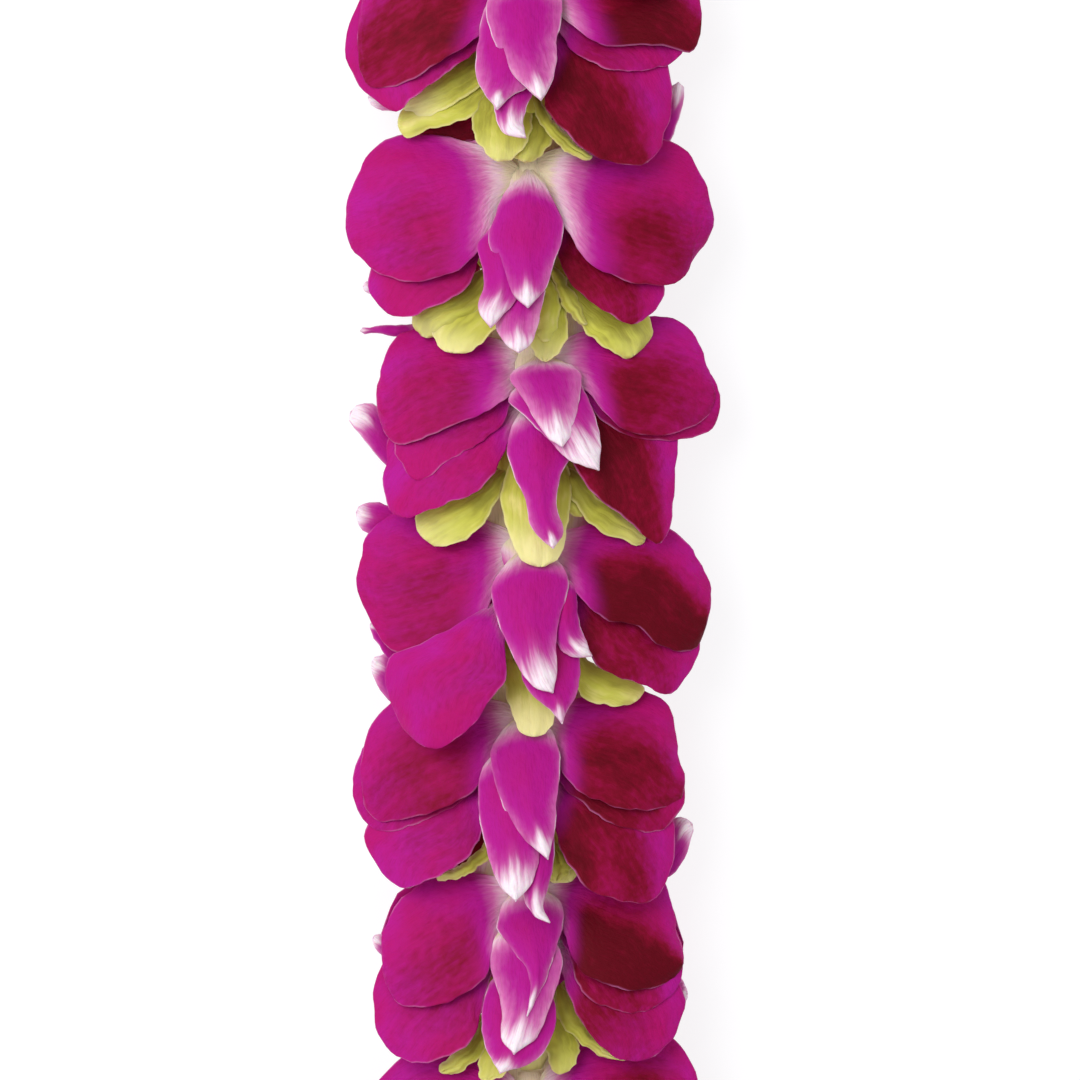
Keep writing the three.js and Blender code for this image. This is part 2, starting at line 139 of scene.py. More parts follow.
SECOND_TIER = [
    ("petal", 0, 0.45, 0.9, (514, 168),
     [(500, 156), (475, 141), (445, 132), (410, 128), (383, 133), (366, 149), (353, 175), (343, 203)],
     (344, 230),
     [(508, 182), (500, 205), (488, 235), (470, 260), (438, 277), (402, 281), (375, 270), (354, 250)]),
    ("petal", 0, 0.8, 1.0, (541, 168),
     [(542, 156), (556, 146), (590, 138), (630, 131), (665, 134), (690, 146), (704, 170), (712, 195)],
     (716, 222),
     [(549, 190), (560, 215), (573, 240), (590, 263), (618, 278), (650, 285), (680, 279), (700, 248)]),
    ("petal", 8, 0.4, 0.4, (512, 190), [(470, 200), (420, 215), (380, 240), (369, 262), (367, 285)],
     (382, 308), [(495, 225), (480, 255), (472, 277), (460, 293), (435, 306), (402, 316)]),
    ("petal", 8, 0.85, 0.1, (545, 190), [(580, 200), (620, 215), (650, 240), (664, 270), (661, 300)],
     (637, 323), [(553, 225), (558, 255), (570, 281), (592, 303), (615, 317)]),
    ("sepal", 0, 0.3, 0.5, (527, 160),
     [(512, 176), (503, 195), (496, 215), (488, 240), (498, 268), (510, 293)],
     (528, 310), [(541, 172), (550, 192), (562, 220), (563, 236), (554, 265), (545, 290)]),
    ("sepal", 3, 0.0, 0.8, (508, 200), [(490, 228), (477, 248), (483, 270), (484, 290), (478, 310)],
     (491, 330), [(518, 235), (520, 270), (517, 300), (504, 316)]),
    ("sepal", 9, 0.0, 0.7, (522, 240), [(505, 270), (500, 300), (496, 325), (505, 345)],
     (519, 355), [(540, 265), (545, 290), (540, 315), (532, 344)]),
    ("lobe", 15, 0.3, 0.3, (498, 250), [(470, 275), (440, 296), (411, 314)],
     (424, 336), [(500, 280), (480, 308), (450, 325)]),
    ("lobe", 19, 0.0, 0.4, (545, 262), [(533, 290), (530, 320), (530, 345)],
     (543, 361), [(560, 285), (568, 310), (567, 335), (555, 356)]),
    ("lobe", 17, 0.5, 0.1, (553, 270), [(590, 280), (625, 300), (650, 315), (653, 335)],
     (634, 355), [(562, 300), (578, 323), (600, 342), (622, 357)]),
    ("lobe", 18, 0.1, 0.6, (500, 270), [(460, 300), (432, 325), (438, 345)],
     (452, 352), [(505, 305), (492, 332), (475, 348)]),
    ("lobe", 15, 0.5, 0.1, (548, 262), [(540, 290), (537, 315), (536, 335)],
     (546, 341), [(556, 285), (560, 310), (556, 330)]),
    ("lobe", 14, 0.6, 0.1, (552, 250), [(560, 270), (575, 292), (585, 312)],
     (586, 324), [(553, 275), (560, 298), (572, 315)]),
    ("side", 0, 0.2, 0.3, (425, 320), [(405, 322), (382, 322), (369, 325)],
     (357, 328), [(412, 333), (388, 332), (371, 330)]),
    ("side", 0, 0.0, 1.0, (400, 275), [(380, 276)], (360, 283), [(380, 290)]),
]
THIRD_TIER = [
    ("petal", 0, 0.5, 0.5, (516, 357),
     [(500, 342), (470, 330), (435, 325), (405, 329), (388, 341), (379, 365)],
     (375, 402), [(513, 385), (495, 405), (468, 420), (440, 431), (415, 440), (393, 442), (380, 426)]),
    ("petal", 0, 0.7, 0.5, (556, 360),
     [(565, 345), (590, 328), (625, 318), (660, 313), (685, 319), (700, 340), (711, 366)],
     (718, 392),
     [(575, 375), (590, 392), (604, 412), (624, 428), (650, 435), (680, 432), (704, 419), (715, 407)]),
    ("petal", 8, 0.3, 0.3, (519, 390),
     [(470, 400), (420, 415), (390, 435), (384, 460), (381, 485), (388, 507)],
     (405, 518), [(514, 420), (506, 450), (495, 470), (480, 489), (450, 503), (425, 512)]),
    ("petal", 8, 1.0, 0.1, (556, 375), [(600, 370), (650, 395), (678, 430), (676, 470), (675, 505)],
     (662, 543), [(560, 410), (570, 450), (583, 481), (605, 505), (632, 522), (646, 537)]),
    ("petal", 6, 0.35, 0.1, (517, 366), [(470, 370), (420, 390), (395, 415), (394, 445), (402, 465)],
     (415, 480), [(510, 400), (500, 427), (478, 444), (450, 458), (432, 475)]),
    ("petal", 6, 0.6, 0.1, (556, 366), [(600, 360), (660, 350), (700, 355), (718, 380)],
     (723, 405), [(580, 395), (610, 425), (650, 440), (690, 437), (714, 427)]),
    ("sepal", 0, 0.3, 1.0, (545, 350), [(525, 362), (510, 377), (524, 400), (538, 424), (549, 439)],
     (562, 448), [(565, 360), (581, 373), (580, 390), (577, 412), (573, 432)]),
    ("sepal", 3, 0.0, 1.15, (535, 365), [(508, 398), (525, 416), (548, 440), (568, 460), (585, 466)],
     (599, 471), [(570, 370), (585, 392), (596, 418), (600, 442)]),
    ("sepal", 8, 0.4, 0.2, (535, 390), [(518, 412), (507, 445), (513, 472), (525, 500), (532, 528)],
     (553, 549), [(560, 410), (572, 450), (560, 478), (556, 505), (563, 533)]),
    ("lobe", 17, 0.3, 0.3, (512, 445), [(495, 470), (465, 488), (430, 502), (414, 515)],
     (422, 538), [(506, 480), (494, 505), (475, 533), (448, 546)]),
    ("lobe", 15, 0.1, 0.8, (535, 430), [(512, 455), (502, 490), (504, 520), (517, 553)],
     (540, 567), [(560, 450), (571, 480), (569, 520), (559, 556)]),
    ("lobe", 17, 0.5, 0.2, (560, 450), [(578, 472), (600, 498), (625, 515)],
     (646, 541), [(563, 480), (573, 503), (592, 524), (618, 539)]),
    ("lobe", 20, 0.8, 0.0, (546, 430), [(575, 440), (590, 475), (592, 500)],
     (584, 516), [(545, 460), (550, 490), (562, 510)]),
    ("side", 0, 0.1, 0.9, (415, 465), [(390, 425), (370, 402)],
     (347, 410), [(398, 478), (378, 458), (358, 435)]),
    ("side", 0, 0.1, 0.9, (415, 522), [(390, 507), (370, 502)], (353, 512), [(388, 532), (367, 535)]),
]
FOURTH_TIER = [
    ("petal", 3, 0.5, 0.5, (512, 543),
     [(490, 525), (455, 510), (415, 507), (385, 517), (365, 536), (357, 560)],
     (354, 585), [(503, 565), (494, 595), (480, 622), (450, 640), (412, 652), (388, 651), (366, 618)]),
    ("petal", 0, 1.1, 0.25, (556, 543),
     [(580, 530), (620, 520), (655, 520), (685, 540), (705, 565), (713, 590)],
     (710, 620), [(563, 565), (575, 590), (600, 617), (637, 626), (660, 645), (685, 654), (702, 644)]),
    ("petal", -1, 0.3, 0.5, (508, 575), [(470, 615), (420, 645), (388, 660), (385, 690), (400, 725)],
     (424, 746), [(503, 610), (506, 650), (505, 680), (488, 702), (468, 730), (445, 745)]),
    ("petal", 8, 0.75, 0.2, (552, 565), [(600, 570), (660, 590), (700, 620), (700, 655), (686, 678)],
     (672, 695), [(562, 600), (580, 635), (598, 666), (625, 679), (650, 689)]),
    ("sepal", 0, 0.2, 0.85, (530, 543),
     [(510, 555), (498, 573), (491, 592), (500, 625), (515, 660), (532, 684)],
     (553, 692), [(550, 552), (563, 566), (569, 585), (560, 615), (556, 640), (557, 668)]),
    ("sepal", 4, 0.0, 0.8, (560, 565), [(556, 595), (554, 625), (560, 648), (575, 657)],
     (592, 656), [(574, 585), (577, 608), (582, 632)]),
    ("sepal", 8, 0.7, 0.4, (548, 600), [(530, 640), (522, 675), (535, 697), (550, 709)],
     (562, 723), [(572, 630), (580, 660), (577, 690), (568, 708)]),
    ("lobe", 19, 0.3, 0.1, (505, 625), [(482, 655), (460, 680)], (452, 702), [(498, 665), (480, 695)]),
    ("lobe", 17, 0.0, 0.9, (520, 615), [(503, 645), (504, 680), (509, 708), (518, 728)],
     (533, 737), [(545, 650), (560, 690), (557, 715), (547, 731)]),
    ("lobe", 17, 0.4, 0.1, (560, 630), [(590, 662), (620, 674), (645, 687)],
     (638, 702), [(570, 665), (578, 692), (598, 705), (618, 708)]),
    ("side", 0, 0.3, 0.3, (405, 660), [(388, 643), (376, 627)], (367, 625), [(392, 667), (376, 647)]),
    ("side", 0, 0.1, 0.9, (410, 690), [(392, 655), (378, 657)], (369, 664), [(394, 708), (373, 685)]),
]
FIFTH_TIER = [
    ("petal", 0, 0.6, 0.4, (512, 722),
     [(495, 705), (460, 695), (420, 695), (388, 705), (368, 728), (360, 760)],
     (361, 795), [(500, 745), (490, 770), (475, 790), (445, 807), (410, 820), (378, 823), (364, 811)]),
    ("petal", 0, 0.85, 0.35, (547, 722),
     [(565, 705), (600, 695), (640, 693), (668, 705), (678, 730), (680, 760)],
     (686, 790), [(556, 742), (562, 768), (575, 790), (605, 803), (640, 812), (672, 808)]),
    ("petal", 8, 0.35, 0.5, (510, 765), [(470, 780), (410, 800), (370, 820), (362, 845)],
     (385, 880), [(490, 785), (483, 820), (478, 842), (462, 863), (435, 878), (403, 889)]),
    ("petal", 8, 0.85, 0.2, (547, 765), [(590, 775), (640, 790), (672, 820), (677, 850), (668, 882)],
     (650, 903), [(555, 800), (556, 835), (566, 862), (590, 888), (620, 901)]),
    ("petal", 6, 0.5, 0.1, (514, 735), [(450, 720), (390, 730), (358, 755), (349, 790)],
     (358, 818), [(490, 775), (465, 798), (440, 815), (405, 830), (375, 832)]),
    ("petal", 6, 0.8, 0.1, (548, 735), [(600, 730), (660, 740), (685, 775), (687, 800)],
     (676, 820), [(562, 785), (582, 803), (605, 822), (635, 831), (660, 833)]),
    ("sepal", 0, 0.0, 0.5, (528, 712),
     [(507, 722), (497, 738), (490, 756), (497, 788), (508, 815), (525, 838)],
     (548, 857), [(548, 722), (556, 740), (560, 762), (557, 800), (554, 830)]),
    ("sepal", 3, 0.0, 0.75, (505, 730), [(488, 755), (479, 780), (479, 810), (486, 845), (498, 880)],
     (516, 898), [(525, 760), (535, 800), (540, 840), (532, 880)]),
    ("sepal", 9, 0.0, 0.8, (542, 790), [(530, 830), (527, 865), (524, 895), (535, 913)],
     (550, 920), [(553, 830), (554, 855), (548, 885), (543, 905)]),
    ("lobe", 16, 0.4, 0.3, (497, 825), [(478, 853), (455, 871)],
     (436, 881), [(492, 855), (472, 874), (455, 881)]),
    ("lobe", 19, 0.4, 0.1, (528, 825), [(518, 850), (516, 870)], (524, 884), [(540, 850), (536, 872)]),
    ("lobe", 18, 0.9, 0.1, (552, 830), [(548, 855), (549, 875)], (556, 884), [(562, 852), (572, 872)]),
    ("lobe", 20, 0.6, 0.3, (545, 800), [(565, 825), (578, 855), (580, 872)],
     (570, 884), [(538, 830), (538, 860), (548, 880)]),
    ("side", 0, 0.1, 0.9, (640, 870), [(662, 842), (678, 822)],
     (695, 828), [(668, 884), (688, 862), (694, 842)]),
    ("side", 0, 0.1, 0.9, (430, 870), [(412, 877)], (399, 890), [(415, 890)]),
]
SIXTH_TIER = [
    ("petal", 0, 0.55, 0.5, (510, 900),
     [(495, 885), (465, 877), (430, 882), (405, 897), (388, 922), (380, 950)],
     (383, 983), [(498, 925), (492, 955), (482, 980), (460, 998), (425, 1008), (395, 1004)]),
    ("petal", 0, 1.1, 0.2, (548, 895), [(575, 880), (620, 872), (660, 880), (672, 905), (679, 935)],
     (685, 968), [(562, 915), (568, 945), (578, 970), (600, 983), (640, 992), (672, 985)]),
    ("petal", 7, 0.4, 0.4, (508, 930), [(460, 940), (400, 950), (376, 975), (372, 1010)],
     (385, 1050), [(495, 965), (483, 1005), (475, 1035), (455, 1052), (420, 1064)]),
    ("petal", 8, 0.6, 0.4, (548, 935), [(600, 945), (660, 965), (684, 995), (680, 1030)],
     (655, 1060), [(562, 975), (575, 1010), (590, 1036), (620, 1060)]),
    ("petal", 6, 0.8, 0.2, (549, 905), [(600, 900), (660, 915), (685, 955), (680, 990)],
     (655, 1010), [(566, 950), (580, 990), (602, 1006), (630, 1016)]),
    ("sepal", 0, 0.0, 0.45, (530, 890),
     [(508, 897), (500, 915), (497, 930), (512, 950), (527, 970), (530, 988)],
     (527, 1014), [(550, 893), (563, 912), (561, 935), (552, 960), (543, 985)]),
    ("sepal", 3, 0.1, 0.8, (518, 920), [(497, 932), (490, 960), (497, 988), (502, 1010), (502, 1035)],
     (514, 1051), [(545, 930), (562, 960), (552, 1000), (535, 1036)]),
    ("sepal", 8, 0.0, 0.5, (515, 960), [(493, 980), (482, 1010), (484, 1040)],
     (500, 1070), [(545, 985), (556, 1015), (540, 1055)]),
    ("lobe", 18, 0.5, 0.1, (495, 1000), [(470, 1040), (450, 1060)], (440, 1075), [(490, 1035), (475, 1065)]),
    ("lobe", 18, 0.5, 0.1, (550, 990), [(545, 1030), (548, 1060)], (560, 1078), [(562, 1020), (580, 1055)]),
    ("lobe", 16, 0.4, 0.3, (556, 965), [(567, 995), (582, 1025), (605, 1052)],
     (625, 1066), [(556, 1000), (562, 1028), (585, 1050)]),
    ("lobe", 20, 0.5, 0.1, (505, 995), [(488, 1025), (478, 1060)], (487, 1083), [(520, 1030), (512, 1065)]),
    ("side", 0, 0.0, 1.0, (400, 960), [(388, 945)], (370, 944), [(385, 965)]),
    ("side", 0, 0.1, 0.8, (655, 1000), [(672, 984), (681, 984)], (690, 1000), [(668, 1022), (684, 1015)]),
]
SHEET = [FIRST_TIER, SECOND_TIER, THIRD_TIER, FOURTH_TIER, FIFTH_TIER, SIXTH_TIER]
SOLID_PETALS = 4
SOLID_LOBES = 3
SOLID_SIDES = (2, 1, 2, 2, 2, 2)

# The shield under each bloom's roots, as across and along in millimetres: its root, one margin
# and its tip. The other margin mirrors the first. Each bloom's is this far along from the first's.
BASE_LEVEL = 3.5
BASE_ROOT = (0, -6)
BASE_MARGIN = [(-7, -11), (-12, -9.5), (-12, -3), (-7, 3)]
BASE_TIP = (0, 7)
BASE_STEPS = {"magenta": (0, 10), "green": (18,)}
BASE_PALE = {0: 1.2, 10: 0.7, 18: 0.8}

# The finer shape of each kind of blade. A crinkle wave is its turns along a margin and its part.
THICKNESS = {"petal": 0.5, "sepal": 0.6, "lobe": 0.55, "side": 0.5, "base": 0.5}
CRINKLE = {"petal": 0.22, "sepal": 0.1, "lobe": 0.24, "side": 0.12, "base": 0.2}
CRINKLE_WAVES = ((2.2, 1.0), (5.3, 0.7), (9.1, 0.55), (13.0, 0.3))
LOWER_TRIM = 0.94
TIP_ROUNDING = 1.35
UNDER_RELIEF = 0.35
SIDE_RELIEF = 0.5
FAR_LEVEL = 7
FAR_DROP = 0.35
END_EASE = 0.04
# Painted highlight: the pale rim along petal and sepal margins fades out over this width.
HIGHLIGHT_RIM_WIDTH = 0.55
LOBE_RIM_WIDTH = 0.8
FINE_GRID = (38, 21)
PLAIN_GRID = (22, 13)
LOWER_GRID = (14, 9)
SQUEEZE = 0.9

# The finer shape of the throats, the string and its knot
THROAT_SIDES = 24
THROAT_RINGS = 9
THROAT_FLUTES = 6
THROAT_TRIM = 0.93
THROAT_PALE = 1.3
BORE_ROOM = 0.25
STRING_SIDES = 9
STRING_RINGS = 1500
PLIES = 3
TWIST = 4.2
KNOT_TURNS = 2
KNOT_POINTS = 16
KNOT_HALF_LENGTH = 1
TAIL_BEND = 3
TAIL_SIDES = 8
TAIL_RINGS = 150
TAIL_CAP = [[0, 1, 2, 7], [2, 3, 6, 7], [3, 4, 5, 6]]


# The solid model's sequence of small differences
class Draws:
    def __init__(self, seed):
        self.state = seed

    def next(self):
        self.state = (self.state * DRAW_FACTOR + DRAW_STEP) % DRAW_RANGE
        return 2 * self.state / DRAW_RANGE - 1


def unit(vectors):
    return vectors / np.maximum(np.linalg.norm(vectors, axis=-1, keepdims=True), 1e-9)


# The length from the first of a row of points to each of them
def lengths_along(points):
    return np.concatenate([[0], np.cumsum(np.linalg.norm(np.diff(points, axis=0), axis=1))])


def smooth_step(low, high, value):
    x = np.clip((value - low) / (high - low), 0, 1)
    return x * x * (3 - 2 * x)


# A rounded peak of height 1 at a middle
def peak(value, middle, width):
    return np.exp(-(((value - middle) / width) ** 2))


def ring_angles(sides):
    return np.arange(sides) / sides * 2 * math.pi


def route_point(distance):
    arc = math.pi * HALF_GAP
    if distance < STRAIGHT / 2:
        x, y = -HALF_GAP, -distance
    elif distance < STRAIGHT / 2 + arc:
        turn = (distance - STRAIGHT / 2) / HALF_GAP
        x, y = -HALF_GAP * math.cos(turn), -STRAIGHT / 2 - HALF_GAP * math.sin(turn)
    elif distance < 1.5 * STRAIGHT + arc:
        x, y = HALF_GAP, distance - STRAIGHT - arc
    elif distance < 1.5 * STRAIGHT + 2 * arc:
        turn = (distance - 1.5 * STRAIGHT - arc) / HALF_GAP
        x, y = HALF_GAP * math.cos(turn), STRAIGHT / 2 + HALF_GAP * math.sin(turn)
    else:
        x, y = -HALF_GAP, 2 * STRAIGHT + 2 * arc - distance
    right = (1 + x / HALF_GAP) / 2
    bow = SIDE_BOW * right * right * math.cos(math.pi * y / (STRAIGHT + 2 * HALF_GAP)) ** 2
    return x + bow + LOOP_SHIFT, y


# The last point stays just short of the first, so that it is on the last straight
ROUTE_TOTAL = 2 * STRAIGHT + 2 * math.pi * HALF_GAP
ROUTE = np.array([route_point(i / ROUTE_STEPS * ROUTE_TOTAL * (1 - 1e-12)) for i in range(ROUTE_STEPS + 1)])
ROUTE_LENGTHS = lengths_along(ROUTE)
PITCH = ROUTE_LENGTHS[-1] / TIERS


def along_route(length):
    wrapped = np.mod(length, ROUTE_LENGTHS[-1])
    return np.stack([np.interp(wrapped, ROUTE_LENGTHS, ROUTE[:, k]) for k in (0, 1)], axis=-1)


def direction_at(length):
    return unit(along_route(np.add(length, SMOOTHING)) - along_route(np.subtract(length, SMOOTHING)))


def bend_at(length):
    before, after = direction_at(length - SMOOTHING), direction_at(length + SMOOTHING)
    return (before[0] * after[1] - before[1] * after[0]) / (2 * SMOOTHING)


def tier_bend(start):
    return min(bend_at(start), bend_at(start + BEND_AHEAD), key=abs)


# Points of the strand in the lei's frame, from arrays of across, along and height
def place(tier, across, along, height):
    length = tier["start"] + along / (1 - tier["bend"] * across)
    direction, middle = direction_at(length), along_route(length)
    x = middle[..., 0] - direction[..., 1] * across
    y = middle[..., 1] + direction[..., 0] * across
    return np.stack([x, y, STRING_HEIGHT + height], axis=-1)


def lay_height(across, along):
    middle = np.maximum(LEAST_HEIGHT, ROOT_HEIGHT + RISE * along - RISE_FADE * along * along)
    return middle * (1 - EDGE_DROP * (across / EDGE_WIDTH) ** 2)


# A smooth curve through points. Its slope at the last point is given or taken from the last step.
def curve_through(points, count, last_slope=None):
    points = np.array(points, float)
    knots = lengths_along(points)
    slopes = np.empty_like(points)
    slopes[1:-1] = (points[2:] - points[:-2]) / (knots[2:] - knots[:-2])[:, None]
    slopes[0] = (points[1] - points[0]) / (knots[1] - knots[0])
    slopes[-1] = (points[-1] - points[-2]) / (knots[-1] - knots[-2]) if last_slope is None else last_slope
    at = np.linspace(0, knots[-1], count)
    step = np.clip(np.searchsorted(knots, at, side="right") - 1, 0, len(points) - 2)
    gap = (knots[step + 1] - knots[step])[:, None]
    t = (at - knots[step])[:, None] / gap
    rise, fall = slopes[step] * gap, slopes[step + 1] * gap
    from_start = (2 * t**3 - 3 * t**2 + 1) * points[step] + (t**3 - 2 * t**2 + t) * rise
    return from_start + (3 * t**2 - 2 * t**3) * points[step + 1] + (t**3 - t**2) * fall


# A margin with small crinkles, which fade out at the root and the tip
def crinkled(margin, size, own):
    along = unit(np.gradient(margin, axis=0))
    share = np.linspace(0, 1, len(margin))
    amount = 0
    for turns, part in CRINKLE_WAVES:
        turns = turns * own.uniform(0.8, 1.2)
        amount = amount + part * own.uniform(0.4, 1) * np.sin(2 * math.pi * (turns * share + own.random()))
    amount = amount * size * smooth_step(0, 0.25, share) * smooth_step(1, 0.93, share)
    return margin + np.stack([-along[:, 1], along[:, 0]], axis=-1) * amount[:, None]


# A blade's two margins from root to tip. A rounded tip has one slope for both.
def blade_margins(blade, rows, own):
    kind = blade["kind"]
    one = [blade["root"], *blade["one"], blade["tip"]]
    two = [blade["root"], *blade["two"], blade["tip"]]
    slope, opposite = None, None
    if kind != "sepal":
        over_tip = np.subtract(two[-2], one[-2])
        slope = TIP_ROUNDING * over_tip / np.linalg.norm(over_tip)
        opposite = -slope
    left, right = curve_through(one, rows, slope), curve_through(two, rows, opposite)
    return crinkled(left, CRINKLE[kind], own), crinkled(right, CRINKLE[kind], own)


# How a blade's surface departs from the one it lies on, by its share of the length and its
# place from one side (-1) to the other (1)
def petal_form(share, side, own):
    dome = own.uniform(1.1, 1.5) * (0.6 - 0.8 * side**2) * smooth_step(0, 0.4, share)
    tip_droop = -own.uniform(0.3, 0.8) * share**5
    waves = own.uniform(1.8, 3.0)
    ruffle = 0
    for edge in (-1, 1):
        phase = own.uniform(0, 2 * math.pi)
        near_edge = smooth_step(0.45, 1, side * edge)
        ruffle = ruffle + own.uniform(0.2, 0.5) * near_edge * np.sin(2 * math.pi * waves * share + phase)
    fold_side = own.uniform(-0.5, 0.5)
    fold = own.uniform(-0.6, 0.6) * peak(side, fold_side * share, 0.25) * smooth_step(0.2, 0.9, share)
    groove = -0.3 * peak(side, 0, 0.13) * (1 - share)
    swell = own.uniform(0.2, 0.45) * np.sin(own.uniform(3, 5) * share + own.uniform(-2, 2) * side)
    return dome + tip_droop + ruffle + fold + groove + swell


def sepal_form(share, side, own):
    body = own.uniform(0.9, 1.3) * (0.7 - side**2) * smooth_step(0, 0.25, share)
    keel = own.uniform(0.3, 0.5) * peak(side, 0, 0.14) * smooth_step(0.15, 0.6, share)
    tip = own.uniform(-0.8, 0.7) * share**6
    edge = own.uniform(-0.3, 0.4) * np.sin(own.uniform(5, 8) * share + own.uniform(0, 6)) * side**4
    return body + keel + tip + edge


def lobe_form(share, side, own):
    cup = own.uniform(-1.2, 0.6) * side**2 * share
    folds = 0
    for middle in (own.uniform(-0.6, -0.15), own.uniform(0.15, 0.6)):
        ridge = peak(side, middle * (0.4 + 0.6 * share), 0.28)
        folds = folds + own.uniform(0.2, 0.8) * ridge * smooth_step(0, 0.3, share)
    tip = -own.uniform(0.6, 1.8) * share**4
    edge = 0.3 * side**4 * np.sin(own.uniform(5, 8) * share + own.uniform(0, 6) + side)
    return cup + folds + tip + edge


def base_form(share, side, own):
    return -0.8 * side**2 + own.uniform(-0.2, 0.2) * share


FORMS = {"petal": petal_form, "sepal": sepal_form, "lobe": lobe_form, "side": sepal_form, "base": base_form}


# One blade as a grid of points on its middle surface, with what its colours follow
def blade_surface(tier, blade, face, grid, own):
    kind = blade["kind"]
    rows, columns = grid
    left, right = blade_margins(blade, rows, own)
    angles = np.linspace(-math.pi / 2, math.pi / 2, columns)
    sides = np.sin(angles * SQUEEZE) / math.sin(math.pi / 2 * SQUEEZE)
    share, side = np.meshgrid(np.linspace(0, 1, rows), sides, indexing="ij")
    over = (side + 1)[..., None] / 2
    flat = left[:, None] * (1 - over) + right[:, None] * over
    spread = np.linalg.norm(right - left, axis=1)[:, None] / 2
    to_tip = np.linalg.norm((left + right) / 2 - np.array(blade["tip"]), axis=1)[:, None]
    across, along = flat[..., 0], flat[..., 1]
    rooted = smooth_step(0, ROOT_SHARE, share)
    across = across * (ROOT_PULL + (1 - ROOT_PULL) * rooted)
    form = FORMS[kind](share, side, own)
    if kind == "petal" and blade["level"] > 0:
        form = form * UNDER_RELIEF
    if kind == "petal" and blade["level"] >= FAR_LEVEL:
        form = form - FAR_DROP
    if kind == "side":
        lying = form * SIDE_RELIEF
    else:
        passed = along / (1 - tier["bend"] * across) - blade["level"]
        lying = lay_height(across, passed) + LIFT[kind] + form
    height = SUNK_HEIGHT[kind] * (1 - rooted) + lying * rooted
    if face < 0:
        height = np.minimum(height, STRING_HEIGHT - PRESSED[kind] - THICKNESS[kind] / 2)
    return SimpleNamespace(
        points=place(tier, across, along, face * height),
        share=share,
        side=side,
        margin=np.minimum((1 - np.abs(side)) * spread, to_tip),
        spread=spread,
        reach=np.linalg.norm(np.subtract(blade["tip"], blade["root"])),
        lower=side * (1 if right[:, 1].mean() > left[:, 1].mean() else -1),
    )


# A closed thin shell round a blade's middle surface
def shell(surface, thickness, face):
    points, side = surface.points, surface.side
    rows, columns = side.shape
    spine = points.copy()
    spine[0] = points[0] * (1 - END_EASE) + points[1] * END_EASE
    spine[-1] = points[-1] * (1 - END_EASE) + points[-2] * END_EASE
    normal = unit(np.cross(np.gradient(spine, axis=0), np.gradient(spine, axis=1)))
    if normal[1:-1, :, 2].mean() * face < 0:
        normal = -normal
    slim = thickness / 2 * (1 - 0.6 * np.abs(side) ** 5) * (1 - 0.6 * surface.share**12)
    top = (spine + normal * slim[..., None]).reshape(-1, 3)
    bottom = (spine - normal * slim[..., None]).reshape(-1, 3)
    index = np.arange(rows * columns).reshape(rows, columns)
    quads = [index[:-1, :-1], index[:-1, 1:], index[1:, 1:], index[1:, :-1]]
    quads = np.stack(quads, axis=-1).reshape(-1, 4)
    rim = np.concatenate([index[:-1, 0], index[-1, :-1], index[:0:-1, -1], index[0, :0:-1]])
    after = np.roll(rim, -1)
    count = rows * columns
    wall = np.stack([rim, after, after + count, rim + count], axis=-1)
    faces = np.concatenate([quads, quads[:, ::-1] + count, wall])
    vertices = np.concatenate([top, bottom])
    row, column = rows // 2, columns // 2
    corner, beside, beyond, _ = vertices[quads[row * (columns - 1) + column]]
    if np.dot(np.cross(beside - corner, beyond - corner), normal[row, column]) < 0:
        faces = faces[:, ::-1]
    return vertices, faces


# Gathers blades and throats into one mesh, with the two attributes that the materials read
class Gathering:
    def __init__(self):
        self.vertices, self.faces, self.tones, self.veins = [], [], [], []
        self.count = 0

    def add(self, vertices, faces, tone, vein):
        self.vertices.append(vertices)
        self.faces.append(faces + self.count)
        self.tones.append(tone)
        self.veins.append(vein)
        self.count += len(vertices)


# What a blade's colours follow: how pale it is, its tip, its rim, and its dark heart or fold. The rim of
# petals and sepals is a painted highlight, and the heart or fold is partly painted shade. They come from
# its surface, its dark and pale shares, and a small difference of its own.
def petal_tones(on, dark, light, drift):
    share, lower = on.share, on.lower
    near_root = 1 - smooth_step(0.04, 0.34 + 0.2 * light, share - 0.12 * smooth_step(0, 1, lower))
    pale = near_root * (0.5 + 0.5 * light) + 0.5 * (1 - smooth_step(0.04, 0.25, share))
    # Painted sheen: on the paler petals the upper margin, which faces the key light, is washed paler.
    sheen_upper_edge = (1 - smooth_step(-1, -0.5, lower)) * (1 - smooth_step(0.4, 0.8, share))
    pale = pale + 0.45 * max(0, light - 0.4) * sheen_upper_edge
    faded = (max(0, 1.1 - dark) + 0.8 * max(0, light - 0.6)) * smooth_step(0.5, 0.95, share)
    inner = share + 0.12 * lower
    reached = smooth_step(0.02 + 0.22 * light, 0.35 + 0.26 * light, inner) * (1 - faded)
    # Painted shade in part: the crimson heart, the petal's own colour, is laid towards its lower side, which
    # is turned from the key light.
    heart_and_shade = 1.2 * dark * reached * smooth_step(-0.95, 0.15, lower - drift)
    # The rim tone is a painted highlight along the margin.
    return pale, 0 * share, np.clip(1 - on.margin / HIGHLIGHT_RIM_WIDTH, 0, 1), heart_and_shade


